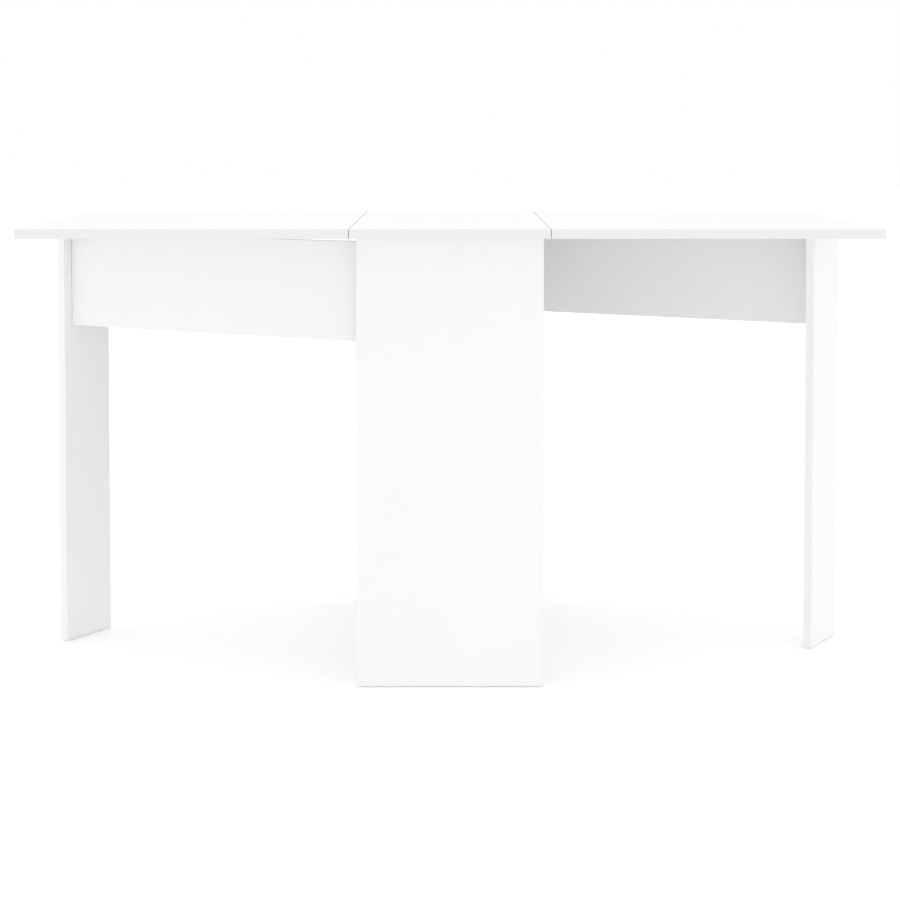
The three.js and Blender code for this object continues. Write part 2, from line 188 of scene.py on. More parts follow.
class FinishSettings(PropertyGroup):
    """The colours of the finishes."""
    laminate: colour("Laminate", "White laminate on the boards' faces", (0.91, 0.91, 0.91))
    band: colour("Edge Band", "Edge band on legs, rails and panels", (0.91, 0.91, 0.905))
    # The top's band is a darker copy of the same white band: painted shade that dims the edges of the top
    # and leaves below the legs' bands.
    painted_shade_top_band: colour("Top Edge Band", "Edge band round the top and leaves", (0.81, 0.81, 0.81))
    chipboard: colour("Chipboard", "Wood chips in the boards' core", (0.52, 0.37, 0.21))
    nickel: colour("Nickel", "Satin nickel on hinges, brackets and screws", (0.66, 0.64, 0.61))
    zinc: colour("Zinc", "Die-cast zinc of the cams", (0.42, 0.43, 0.45))
    nylon: colour("Nylon", "White nylon of glides and stops", (0.78, 0.78, 0.75))
    beech: colour("Beech", "Beech of the dowels", (0.66, 0.45, 0.26))


class StageSettings(PropertyGroup):
    """The floor, the light and the camera."""
    floor: colour("Floor", "Pale studio floor", (0.93, 0.93, 0.93))
    floor_glow: FloatProperty(
        name="Floor Glow", description="Light that the floor itself gives off", default=0.17)
    sky: FloatProperty(name="Sky", description="Strength of the white surround", default=1.0, min=0)
    top_light: power("Top Light", "Softbox above", 7)
    lens: FloatProperty(name="Lens", description="Focal length", default=85, min=1, unit="CAMERA")
    distance: length("Distance", "From the table's centre to the camera", 3806)
    height: length("Height", "Height of the camera", 917)
    tilt: FloatProperty(
        name="Tilt", description="How far the camera looks down", default=math.radians(2.55),
        subtype="ANGLE")
    shift: FloatProperty(name="Shift", description="Vertical lens shift", default=-0.25)


class TableSettings(PropertyGroup):
    """All settings of the table."""
    boards: PointerProperty(type=BoardSettings)
    hinges: PointerProperty(type=HingeSettings)
    screws: PointerProperty(type=ScrewSettings)
    fittings: PointerProperty(type=FittingSettings)
    finishes: PointerProperty(type=FinishSettings)
    stage: PointerProperty(type=StageSettings)


# ---- Frames: where the model has its pieces ----
def frame_of(x, y, z, place):
    """A matrix from its three axes and its origin."""
    rows = [Vector((*axis, 0)) for axis in (x, y, z)]
    return Matrix([*rows, Vector((*place, 1))]).transposed()


def aimed(place, direction):
    """A frame at a place, with +Z along a direction."""
    turn = Vector(direction).to_track_quat("Z", "Y").to_matrix().to_4x4()
    return Matrix.Translation(place) @ turn


def points_in(node, matrix):
    """A node's points in a frame."""
    inverse = matrix.inverted()
    return [inverse @ vertex.co for vertex in NODES[node].data.vertices]


def middle_of(node):
    """The middle of a node's box."""
    low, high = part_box(node)
    return (low + high) / 2


def round_size(node, matrix):
    """A node's radius about a frame's Z axis, and its lowest and highest Z there."""
    points = points_in(node, matrix)
    heights = [point.z for point in points]
    return max(point.xy.length for point in points), min(heights), max(heights)


def centred(node, x, y, z):
    """A frame with the given axes in the middle of a node, and the node's half sizes along them."""
    points = points_in(node, frame_of(x, y, z, (0, 0, 0)))
    low = Vector(min(point[i] for point in points) for i in range(3))
    high = Vector(max(point[i] for point in points) for i in range(3))
    middle = (low + high) / 2
    place = x * middle.x + y * middle.y + z * middle.z
    return frame_of(x, y, z, place), (high - low) / 2


def board_frame(node):
    """A board's frame, with X along it and Z through its thickness, and its half sizes."""
    through = max(NODES[node].data.polygons, key=lambda face: face.area).normal.normalized()
    upright = UP if abs(through.z) < 0.5 else Vector((0, 1, 0))
    across = upright.cross(through).normalized()
    matrix, half = centred(node, upright, through.cross(upright), through)
    if half.x >= half.y:
        return matrix, half
    return centred(node, across, through.cross(across), through)


def leg_direction(node):
    """The level direction from a gate's pin to its leg."""
    side = node.split("_")[0]
    run = middle_of(side + "_gate_leg") - middle_of(side + "_gate_rail")
    axis = board_frame(side + "_gate_rail")[0].col[0].xyz
    return axis if axis.dot(run) > 0 else -axis


def plate_frame(node):
    """A hinge plate's frame: +Z along the pin, +X over the plate and +Y to its screwed face.

    With it come the plate's width from the pin, its barrel's radius and half its length."""
    pin = node.rsplit("_", 2)[0] + "_pin"
    low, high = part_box(pin)
    size = high - low
    axis = UP if size.z > size.y else Vector((0, 1, 0))
    normal = max(NODES[node].data.polygons, key=lambda face: face.area).normal.normalized()
    along = axis.cross(normal)
    matrix = frame_of(along, normal, axis, middle_of(pin))
    points = points_in(node, matrix)
    if max(point.x for point in points) < -min(point.x for point in points):
        along = -along
    far = [point for point in points if abs(point.x) > 2 * min(abs(size.x), abs(size.y), abs(size.z))]
    screwed = normal if sum(point.y for point in far) > 0 else -normal
    matrix = frame_of(along, screwed, along.cross(screwed), middle_of(pin))
    points = points_in(node, matrix)
    width = max(point.x for point in points)
    barrel = max(point.y for point in points)
    return matrix, width, barrel, max(point.z for point in points)


def bracket_frame(node):
    """A bracket's frame: the origin in its corner, +Y along the top, +Z up and X across it."""
    low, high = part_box(node)
    size = high - low
    outward = Vector((1, 0, 0)) if size.x > size.y else Vector((0, 1, 0))
    foot = [vertex.co for vertex in NODES[node].data.vertices if vertex.co.z < low.z + 0.1 * MM]
    middle = (low + high) / 2
    if sum((point - middle).dot(outward) for point in foot) > 0:
        outward = -outward
    corner = middle - outward * max(size.x, size.y) / 2
    corner.z = high.z
    return frame_of(outward.cross(UP), outward, UP, corner), size


def cam_frame(node):
    """A cam's frame: the origin on its axis in the middle of the spine, and +Z out of its face."""
    low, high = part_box(node)
    middle = (low + high) / 2
    spine_x = middle_of("spine").x
    out = 1 if high.x - spine_x > spine_x - low.x else -1
    toward = 1 if middle.y > 0 else -1
    x, z = Vector((0, toward, 0)), Vector((out, 0, 0))
    return frame_of(x, z.cross(x), z, (spine_x, middle.y, middle.z))


def bolt_frame(node):
    """A cam bolt's frame: the origin where spine and panel meet, and +Z into the panel."""
    middle = middle_of(node)
    side = 1 if middle.y > 0 else -1
    low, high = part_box(node.split("_")[0] + "_panel")
    joint = low.y if side > 0 else high.y
    return aimed((middle.x, joint, middle.z), (0, side, 0))


def dowel_frame(node):
    """A dowel's frame: the origin in its middle, and +Z towards the gate's leg."""
    return aimed(middle_of(node), leg_direction(node))


def glide_frame(node):
    """A glide's frame: the origin on the floor under its nail, and +Z up."""
    middle = middle_of(node)
    return Matrix.Translation((middle.x, middle.y, 0))


def stop_frame(node):
    """A stop's frame: the origin in its middle, X along the gate's rail and Z up. Half sizes too."""
    along = leg_direction(node)
    return centred(node, along, UP.cross(along), UP)


# ---- Meshes ----
def lofted(rings, closed=False):
    """A solid through rings of points. A ring of one point is a tip, and a closed row has no ends."""
    bm = bmesh.new()
    rows = [[bm.verts.new(point) for point in ring] for ring in rings]
    facets = max(len(row) for row in rows)
    pairs = list(zip(rows, rows[1:]))
    if closed:
        pairs.append((rows[-1], rows[0]))
    else:
        for row in (rows[0], rows[-1]):
            if len(row) > 1:
                bm.faces.new(row)
    for lower, upper in pairs:
        for step in range(facets):
            after = (step + 1) % facets
            corners = [
                lower[step % len(lower)], lower[after % len(lower)],
                upper[after % len(upper)], upper[step % len(upper)],
            ]
            bm.faces.new(dict.fromkeys(corners))
    bmesh.ops.recalc_face_normals(bm, faces=bm.faces)
    return bm


def circle(facets, height, radius):
    """A ring of points about Z. The radius is a number, or a function of the angle."""
    angles = [2 * math.pi * step / facets for step in range(facets)]
    sizes = [radius(angle) if callable(radius) else radius for angle in angles]
    return [(size * math.cos(angle), size * math.sin(angle), height) for size, angle in zip(sizes, angles)]


def turned(profile, facets, closed=False):
    """A solid turned about Z from (radius, height) points. A closed profile makes a ring."""
    rings = [circle(facets if radius > 0 else 1, height, radius) for radius, height in profile]
    return lofted(rings, closed)


def prism(outline, low, high):
    """A solid with an outline of (x, y) points, from z = low to z = high."""
    return lofted([[(x, y, z) for x, y in outline] for z in (low, high)])


def box(half, place=(0, 0, 0)):
    """A box from its half sizes and its middle."""
    bm = bmesh.new()
    bmesh.ops.create_cube(bm, size=2)
    bmesh.ops.scale(bm, vec=half, verts=bm.verts)
    bmesh.ops.translate(bm, vec=place, verts=bm.verts)
    return bm


def arc(x, y, radius, start, end, steps):
    """Points on an arc about (x, y), from one angle to another in degrees."""
    angles = [math.radians(start + (end - start) * step / steps) for step in range(steps + 1)]
    return [(x + radius * math.cos(angle), y + radius * math.sin(angle)) for angle in angles]


def rounded(half_x, half_y, radius, steps=6):
    """The outline of a rectangle about the origin, with round corners."""
    x, y = half_x - radius, half_y - radius
    outline = []
    for turn, (across, along) in enumerate(((x, y), (-x, y), (-x, -y), (x, -y))):
        outline += arc(across, along, radius, 90 * turn, 90 * turn + 90, steps)
    return outline


def moved(bm, matrix):
    """The same bmesh, moved by a matrix."""
    bmesh.ops.transform(bm, matrix=matrix, verts=bm.verts)
    return bm


def painted(bm, slot):
    """The same bmesh, with all its faces in one material slot."""
    for face in bm.faces:
        face.material_index = slot
    return bm


def joined(*parts):
    """One mesh from several bmeshes, side by side."""
    mesh = bpy.data.meshes.new("parts")
    whole = bmesh.new()
    for part in parts:
        part.to_mesh(mesh)
        part.free()
        whole.from_mesh(mesh)
    bpy.data.meshes.remove(mesh)
    return whole


def linked(name, data):
    """A new object in the scene, for the given data."""
    thing = bpy.data.objects.new(name, data)
    bpy.context.scene.collection.objects.link(thing)
    return thing


def as_mesh(bm, name):
    """A mesh from a bmesh, which is used up."""
    mesh = bpy.data.meshes.new(name)
    bm.to_mesh(mesh)
    bm.free()
    return mesh


def smoothed(mesh, crease):
    """The same mesh, shaded smooth except at its creases."""
    mesh.shade_smooth()
    mesh.set_sharp_from_angle(angle=math.radians(crease))
    return mesh


def discard(thing):
    """Removes a working object and its mesh."""
    mesh = thing.data
    bpy.data.objects.remove(thing)
    bpy.data.meshes.remove(mesh)


def plain_mesh(thing):
    """The mesh of an object with its modifiers applied. The object itself is removed."""
    graph = bpy.context.evaluated_depsgraph_get()
    mesh = bpy.data.meshes.new_from_object(thing.evaluated_get(graph), depsgraph=graph)
    discard(thing)
    return mesh


def combined(base, tools, operation):
    """A solid with several others cut from it ("DIFFERENCE") or added to it ("UNION")."""
    body = linked("body", as_mesh(base, "body"))
    helpers = [linked("tool", as_mesh(tool, "tool")) for tool in tools]
    for helper in helpers:
        step = body.modifiers.new("step", "BOOLEAN")
        step.object = helper
        step.operation = operation
        step.solver = "MANIFOLD"
    mesh = plain_mesh(body)
    for helper in helpers:
        discard(helper)
    bm = bmesh.new()
    bm.from_mesh(mesh)
    bpy.data.meshes.remove(mesh)
    bmesh.ops.remove_doubles(bm, verts=bm.verts, dist=0.001 * MM)
    return bm


def eased(bm, radius, steps=2, angle=40, keep=lambda edge: True):
    """The same bmesh with its sharp edges rounded."""
    limit = math.radians(angle)
    edges = [edge for edge in bm.edges if edge.calc_face_angle(0) > limit and keep(edge)]
    bmesh.ops.bevel(
        bm, geom=edges, offset=radius, segments=steps, profile=0.5, affect="EDGES", clamp_overlap=True)
    return bm


def finished(node, bm, matrix, finishes, crease=CREASE):
    """The piece that stands for a node: its mesh in place, its finishes, and the node's body."""
    mesh = as_mesh(bm, "finished_" + node)
    mesh.transform(matrix)
    for name in finishes:
        mesh.materials.append(finish(name))
    smoothed(mesh, crease).validate()
    piece = linked(mesh.name, mesh)
    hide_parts(node)
    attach(piece, NODES[node]["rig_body"])
    return piece


# ---- Finishes ----
class NodeMaker:
    """A node tree under construction."""

    def __init__(self, tree):
        self.tree = tree

    def add(self, kind, sockets=None, **options):
        """A node of the given kind. A socket takes a value, a node's output, or a list of outputs."""
        node = self.tree.nodes.new(kind)
        for key, value in options.items():
            setattr(node, key, value)
        for key, value in (sockets or {}).items():
            self.feed(node.inputs[key], value)
        return node

    def feed(self, socket, value):
        """Sets a socket, or links other nodes' outputs to it."""
        for source in value if isinstance(value, list) else [value]:
            if isinstance(source, bpy.types.NodeSocket):
                self.tree.links.new(source, socket)
            else:
                socket.default_value = source


class Finish(NodeMaker):
    """A material under construction: a shader, and the coordinates that its patterns read."""

    def __init__(self, name, **constants):
        self.material = bpy.data.materials.new(name)
        self.material.use_nodes = True
        super().__init__(self.material.node_tree)
        self.shader = self.tree.nodes["Principled BSDF"]
        for key, value in constants.items():
            self.shader.inputs[key.replace("_", " ")].default_value = value
        self.place = self.add("ShaderNodeTexCoord").outputs["Object"]

    def stretch(self, scale, source=None):
        """Coordinates scaled by a different factor along each axis."""
        return self.add("ShaderNodeMapping", {"Vector": source or self.place, "Scale": scale}).outputs[0]

    def noise(self, scale, detail=3.0, source=None, distortion=0.0):
        """Soft noise from 0 to 1, with this many waves a metre."""
        sockets = {
            "Vector": source or self.place, "Scale": scale, "Detail": detail, "Distortion": distortion}
        return self.add("ShaderNodeTexNoise", sockets).outputs["Fac"]

    def own(self, name, output="Fac"):
        """An attribute that the mesh carries."""
        return self.add("ShaderNodeAttribute", attribute_name=name).outputs[output]

    def ranged(self, value, low, high, start=0.35, end=0.65):
        """A value spread from start..end onto low..high."""
        sockets = {"Value": value, "From Min": start, "From Max": end, "To Min": low, "To Max": high}
        return self.add("ShaderNodeMapRange", sockets).outputs["Result"]

    def mix(self, factor, first, second):
        """A colour between two others."""
        node = self.add("ShaderNodeMix", {0: factor}, data_type="RGBA")
        for index, value in ((6, first), (7, second)):
            self.feed(node.inputs[index], value if isinstance(value, bpy.types.NodeSocket) else (*value, 1))
        return node.outputs[2]

    def toned(self, base, pattern, dark, light, worn, rubbed):
        """A base colour in shades from dark to light over a pattern, and in another where it is worn."""
        tone = self.mix(self.ranged(pattern, 0, 1), shade(base, dark), shade(base, light))
        return self.mix(worn, tone, shade(base, rubbed))

    def times(self, first, second):
        """The product of two values."""
        return self.add("ShaderNodeMath", {0: first, 1: second}, operation="MULTIPLY").outputs[0]

    def worn_edge(self, radius):
        """0 on a flat and 1 on a sharp edge, found within a radius."""
        bevel = self.add("ShaderNodeBevel", {"Radius": radius}, samples=4)
        bare = self.add("ShaderNodeNewGeometry").outputs["Normal"]
        dot = self.add("ShaderNodeVectorMath", {0: bevel.outputs[0], 1: bare}, operation="DOT_PRODUCT")
        return self.ranged(dot.outputs["Value"], 1.0, 0.0, 0.8, 1.0)

    def look(self, tone, roughness, *bumps):
        """Feeds the shader its colour and roughness, and bumps given as (height, depth) pairs."""
        self.feed(self.shader.inputs["Base Color"], tone)
        self.feed(self.shader.inputs["Roughness"], roughness)
        normal = None
        for height, depth in bumps:
            bump = self.add("ShaderNodeBump", {"Height": height, "Distance": depth, "Strength": 0.6})
            if normal:
                self.feed(bump.inputs["Normal"], normal)
            normal = bump.outputs["Normal"]
        self.feed(self.shader.inputs["Normal"], normal)
        return self.material


def shade(tone, factor):
    """A colour made lighter or darker."""
    return tuple(min(1.0, channel * factor) for channel in tone)


def laminate(name, colours):
    """White laminate: a fine pearled skin with faint clouds, wiped streaks and rubbed arrises."""
    made = Finish(name, IOR=1.48)
    rubbed = made.times(made.own("wear"), made.ranged(made.noise(60), 0.0, 0.5))
    tone = made.toned(colours.laminate, made.noise(2.2, 4), 0.985, 1.0, rubbed, 0.86)
    wiped = made.noise(5, 5, made.stretch((1.0, 9.0, 3.0)), 0.6)
    pearl = made.noise(850, 2)
    dimple = made.noise(260, 1)
    return made.look(tone, made.ranged(wiped, 0.36, 0.47), (dimple, 0.02 * MM), (pearl, 0.03 * MM))


def edge_band(name, colours, top=False):
    """Edge band: the same white, with fine scraper lines along it and rubbed arrises. Round the top and
    leaves it takes a darker copy of that white, which is painted shade.
    """
    # On the top and leaves the base is the darker white: painted shade.
    base = colours.painted_shade_top_band if top else colours.band
    made = Finish(name, IOR=1.5)
    along = made.add("ShaderNodeUVMap", uv_map="board").outputs["UV"]
    lines = made.noise(1.0, 3, made.stretch((9.0, 2600.0, 1.0), along))
    chatter = made.noise(1.0, 2, made.stretch((420.0, 30.0, 1.0), along))
    rubbed = made.times(made.own("wear"), made.ranged(made.noise(45, 4), 0.1, 0.6))
    tone = made.toned(base, lines, 0.975, 1.0, rubbed, 0.84)
    return made.look(tone, made.ranged(lines, 0.3, 0.42), (lines, 0.02 * MM), (chatter, 0.015 * MM))


def top_edge_band(name, colours):
    """Edge band round the top and leaves, in the darker copy of the white that paints shade on their edges.
    """
    return edge_band(name, colours, top=True)


def chipboard(name, colours):
    """The raw core of a board: pressed chips of many tones, with open pores."""
    made = Finish(name)
    bent = made.add("ShaderNodeTexNoise", {"Vector": made.place, "Scale": 90.0}).outputs["Color"]
    warped = made.add("ShaderNodeMix", {0: 0.012}, data_type="VECTOR")
    made.feed(warped.inputs[4], made.place)
    made.feed(warped.inputs[5], bent)
    chips = made.add("ShaderNodeTexVoronoi", {"Vector": warped.outputs[1], "Scale": 330.0})
    flake = made.add("ShaderNodeSeparateColor", {"Color": chips.outputs["Color"]}).outputs[0]
    fine = made.noise(1500, 3)
    tone = made.mix(flake, shade(colours.chipboard, 0.62), shade(colours.chipboard, 1.35))
    tone = made.mix(made.ranged(fine, 0, 0.5), tone, shade(colours.chipboard, 0.45))
    rough = made.ranged(fine, 0.8, 0.95)
    return made.look(tone, rough, (chips.outputs["Distance"], 0.25 * MM), (fine, 0.1 * MM))


def nickel(name, colours):
    """Satin nickel plate: tumbled haze, fine scratches both ways, and bright worn edges."""
    made = Finish(name, Metallic=1.0)
    haze = made.noise(240, 5)
    first = made.noise(1.0, 2, made.stretch((300.0, 7000.0, 2500.0)))
    second = made.noise(1.0, 2, made.stretch((6500.0, 420.0, 3100.0)))
    scratches = made.times(first, second)
    worn = made.times(made.worn_edge(0.35 * MM), made.ranged(haze, 0.3, 1.0))
    tone = made.toned(colours.nickel, haze, 0.86, 1.0, worn, 1.25)
    rough = made.ranged(scratches, 0.24, 0.42, 0.1, 0.4)
    return made.look(tone, rough, (haze, 0.008 * MM), (scratches, 0.006 * MM))


def zinc(name, colours):
    """Die-cast zinc: a dull grained skin, darker in patches and bright where tools touch it."""
    made = Finish(name, Metallic=1.0)
    grain = made.noise(1600, 4)
    patch = made.noise(150, 3)
    worn = made.times(made.worn_edge(0.4 * MM), made.ranged(patch, 0.4, 1.0))
    tone = made.toned(colours.zinc, patch, 0.75, 1.1, worn, 1.6)
    return made.look(tone, made.ranged(grain, 0.42, 0.62), (grain, 0.02 * MM), (patch, 0.03 * MM))


def nylon(name, colours):
    """Moulded white nylon: milky, spark-textured, and scuffed on its edges."""
    made = Finish(name, IOR=1.53, Subsurface_Weight=0.12, Subsurface_Scale=0.002)
    spark = made.noise(2400, 2)
    flow = made.noise(70, 3, None, 1.2)
    worn = made.times(made.worn_edge(0.4 * MM), made.ranged(flow, 0.2, 0.9))
    tone = made.toned(colours.nylon, flow, 0.95, 1.0, worn, 0.8)
    return made.look(tone, made.ranged(spark, 0.45, 0.6), (spark, 0.015 * MM), (flow, 0.03 * MM))


def beech(name, colours):
    """Turned beech: straight grain along the dowel, with short dark rays."""
    made = Finish(name)
    own = made.own("own_place", "Vector")
    grain = made.noise(1.0, 4, made.stretch((1500.0, 1500.0, 40.0), own), 0.4)
    rays = made.noise(1.0, 1, made.stretch((2600.0, 900.0, 330.0), own))
    tone = made.toned(colours.beech, grain, 0.8, 1.12, made.ranged(rays, 0, 0.6, 0.6, 0.7), 0.5)
    return made.look(tone, made.ranged(grain, 0.55, 0.75), (grain, 0.06 * MM), (rays, 0.03 * MM))


FINISHES = {
    "white_laminate": laminate,
    "white_edge_band": edge_band,
    # The top's edge band is a darker copy of the white band: painted shade.
    "white_top_edge_band": top_edge_band,
    "raw_chipboard": chipboard,
    "satin_nickel": nickel,
    "cast_zinc": zinc,
    "white_nylon": nylon,
    "raw_beech": beech,
}


def finish(name):
    """The named finish, made the first time that it is asked for."""
    known = bpy.data.materials.get(name)
    return known or FINISHES[name](name, bpy.context.scene.gateleg.finishes)


# ---- Boards ----
def ray_target(node):
    """A node's faces, ready to be hit by a ray."""
    mesh = NODES[node].data
    corners = [vertex.co for vertex in mesh.vertices]
    return BVHTree.FromPolygons(corners, [face.vertices for face in mesh.polygons])


def raw_sides(node, matrix, half):
    """The sides of a board that have no edge band, as they stand hard against another board."""
    reach = 0.5 * MM
    others = [ray_target(name) for name in BOARDS if name != node]
    raw = []
    for axis in (0, 1):
        for sign in (-1, 1):
            spot = Vector((0, 0, 0))
            spot[axis] = sign * half[axis]
            direction = matrix.col[axis].xyz * sign
            if any(tree.ray_cast(matrix @ spot, direction, reach)[0] for tree in others):
                raw.append((axis, sign))
    return raw


def side_of(point, half):
    """The side of a board that a point of it is nearest to: (axis, sign)."""
    near = [half[axis] - abs(point[axis]) for axis in (0, 1)]
    axis = near.index(min(near))
    return axis, (1 if point[axis] > 0 else -1)


def bores_near(node, settings):
    """The bores that fittings need in a board, as solids in the model's own frame."""
    gap = settings.boards.bore_gap
    fittings = settings.fittings
    in_spine = node == "spine"
    bores = []

    def bore(fitting, matrix, radius, low, high):
        near_low, near_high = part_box(fitting)
        board_low, board_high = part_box(node)
        if all(near_low[i] < board_high[i] and near_high[i] > board_low[i] for i in range(3)):
            profile = [(0, low), (radius, low), (radius, high), (0, high)]
            bores.append(painted(moved(turned(profile, 32), matrix), CORE))

    for fitting in DOWELS:
        matrix = dowel_frame(fitting)
        radius, low, high = round_size(fitting, matrix)
        bore(fitting, matrix, radius + gap, low - gap, high + gap)
    for fitting in GLIDES:
        matrix = glide_frame(fitting)
        bore(fitting, matrix, fittings.glide_nail + gap, 0, round_size(fitting, matrix)[2] + gap)
    for fitting in BOLTS:
        matrix = bolt_frame(fitting)
        head, tip = round_size(fitting, matrix)[1:]
        if in_spine:
            bore(fitting, matrix, settings.boards.bolt_bore, head, 1 * MM)
        else:
            bore(fitting, matrix, fittings.bolt_thread + gap, -1 * MM, tip + gap)
    for fitting in CAMS if in_spine else []:
        matrix = cam_frame(fitting)
        radius, low, high = round_size(fitting, matrix)
        bore(fitting, matrix, radius + gap, low - gap, high + 2 * MM)
    return bores


def board_shape(node, settings):
    """A board in its own frame: rounded bands, the glue line beside them, and its bores."""
    boards = settings.boards
    matrix, half = board_frame(node)
    raw = raw_sides(node, matrix, half)
    bm = painted(box(half), LAMINATE)
    bmesh.ops.bevel(
        bm, geom=list(bm.edges), offset=boards.arris, segments=boards.arris_steps, affect="EDGES",
        profile=0.5)
    big = sorted(bm.faces, key=lambda face: face.calc_area())[-6:]
    big = [face for face in big if abs(face.normal.z) > SQUARE]
    line = boards.glue_line / 2
    bmesh.ops.inset_individual(bm, faces=big, thickness=boards.band - boards.arris - line, depth=0)
    bmesh.ops.inset_individual(bm, faces=big, thickness=line, depth=-boards.glue_depth)
    bmesh.ops.inset_individual(bm, faces=big, thickness=line, depth=boards.glue_depth)
    upright = 0.3
    for face in set(bm.faces) - set(big):
        bare = CORE if abs(face.normal.z) < upright else LAMINATE
        side = side_of(face.calc_center_median(), half)
        face.material_index = bare if side in raw else BAND
    inverse = matrix.inverted()
    tools = [moved(bore, inverse) for bore in bores_near(node, settings)]
    return (combined(bm, tools, "DIFFERENCE") if tools else bm), matrix


def mark_board(bm):
    """Gives a board its map, in metres along and across each side, and its rubbed arrises."""
    layer = bm.loops.layers.uv.new("board")
    wear = bm.faces.layers.float.new("wear")
    for face in bm.faces:
        turn = max(range(3), key=lambda i: abs(face.normal[i]))
        face[wear] = 0.0 if abs(face.normal[turn]) > SQUARE else 1.0
        along, across = ((1, 2), (0, 2), (0, 1))[turn]
        for loop in face.loops:
            loop[layer].uv = (loop.vert.co[along], loop.vert.co[across])


def make_board(node, settings):
    """A finished board."""
    bm, matrix = board_shape(node, settings)
    bm.normal_update()
    mark_board(bm)
    level = abs(matrix.col[2].z) > 0.5
    # Level boards, the top and leaves, take the edge band whose darker white is painted shade.
    band = "white_top_edge_band" if level else "white_edge_band"
    finishes = ["white_laminate", band, "raw_chipboard"]
    piece = finished(node, bm, matrix, finishes, BOARD_CREASE)
    broad = 40 * MM * MM
    for face in piece.data.polygons:
        if face.area > broad:
            face.use_smooth = False


# ---- Hinges ----
def plate_screws(node, settings):
    """Frames at a hinge plate's screws, each with +Z out of the steel, in the plate's frame."""
    width, barrel, half = plate_frame(node)[1:]
    inward, outward, share = 0, 0, 0.68
    if "leaf_hinge" in node:
        inward, outward, share = 3.5 * MM, 3.5 * MM, 0.7
    elif "moving" in node:
        inward, outward = 1.5 * MM, 2 * MM
    middle = (barrel + width) / 2
    inner, outer, end = middle - inward, middle + outward, share * half
    face = barrel - settings.hinges.thickness
    return [aimed((x, face, z), (0, -1, 0)) for x, z in ((inner, -end), (outer, 0), (inner, end))]


def countersink(place, screws):
    """A drill for one screw, with its mouth at z = 0 in a frame that looks out of the steel."""
    gap = 0.15 * MM
    through = 4 * MM
    profile = [
        (0, -through), (screws.shank + gap, -through), (screws.shank + gap, -screws.head_depth),
        (screws.head + gap, 0), (screws.head + gap, through), (0, through),
    ]
    return moved(turned(profile, 28), place)


def knuckle(barrel, hinges, pin, low, high):
    """One rolled knuckle of a plate, in the plate's frame."""
    play = 0.2 * MM
    inner = barrel - hinges.thickness
    bore = pin + play
    root = barrel + hinges.root + hinges.thickness
    closing = math.degrees(math.asin((inner - hinges.slit) / barrel))
    leaving = math.degrees(math.asin(min(1.0, inner / bore)))
    outline = [(root, barrel)]
    outline += arc(0, 0, barrel, 90, 360 + closing, 30)
    outline += arc(0, 0, bore, 360 + closing, leaving, 26)
    outline += [(root, inner)]
    return prism(outline, low, high)


def pin_radius(node, hinges):
    """The radius of the pin of the hinge that a node belongs to."""
    return hinges.leaf_pin if "leaf_hinge" in node else hinges.gate_pin


def plate_shape(node, settings):
    """A stamped and rolled hinge plate with countersunk holes, in the hinge's frame."""
    hinges = settings.hinges
    matrix, width, barrel, half = plate_frame(node)
    start = barrel + hinges.root
    corner = hinges.corner
    outline = [(start, -half)] + arc(width - corner, corner - half, corner, -90, 0, 6)
    outline += arc(width - corner, half - corner, corner, 0, 90, 6) + [(start, half)]
    upright = Matrix.Rotation(math.radians(90), 4, "X")
    flat = moved(prism(outline, -barrel, hinges.thickness - barrel), upright)
    clear = start + hinges.edge
    eased(flat, hinges.edge, keep=lambda edge: any(vertex.co.x > clear for vertex in edge.verts))
    lows = [point.z for point in points_in(node, matrix) if point.y < 0]
    spans = [(min(lows), max(lows))]
    if "fixed" in node:
        gap = min(abs(z) for z in lows)
        spans = [(-half, -gap), (gap, half)]
    knuckles = [knuckle(barrel, hinges, pin_radius(node, hinges), low, high) for low, high in spans]
    whole = combined(flat, knuckles, "UNION")
    drills = [countersink(place, settings.screws) for place in plate_screws(node, settings)]
    return combined(whole, drills, "DIFFERENCE"), matrix


def pin_shape(node, settings):
    """A hinge pin with a domed head at each end, in the hinge's frame."""
    matrix, _, _, half = plate_frame(node[:-len("pin")] + "fixed_plate")
    head, _, high = round_size(node, matrix)
    shank = pin_radius(node, settings.hinges)
    rim = half + 0.1 * MM
    dome = arc(0, 0, 1, 0, 75, 5) + [(0, 1)]
    upper = [(shank, rim)] + [(head * x, rim + (high - rim) * y) for x, y in dome]
    lower = [(radius, -height) for radius, height in reversed(upper)]
    return turned(lower + upper, 24), matrix


# ---- Brackets ----
def bracket_screws(node, settings):
    """Frames at a bracket's screws, each with +Z out of the steel."""
    matrix, size = bracket_frame(node)
    reach = 0.6 * size.z
    side = 4.7 * MM
    steel = settings.fittings.bracket_thickness
    places = []
    for x in (-side, side):
        places.append(matrix @ aimed((x, reach, -steel), (0, 0, -1)))
        places.append(matrix @ aimed((x, steel, -reach), (0, 1, 0)))
    return places


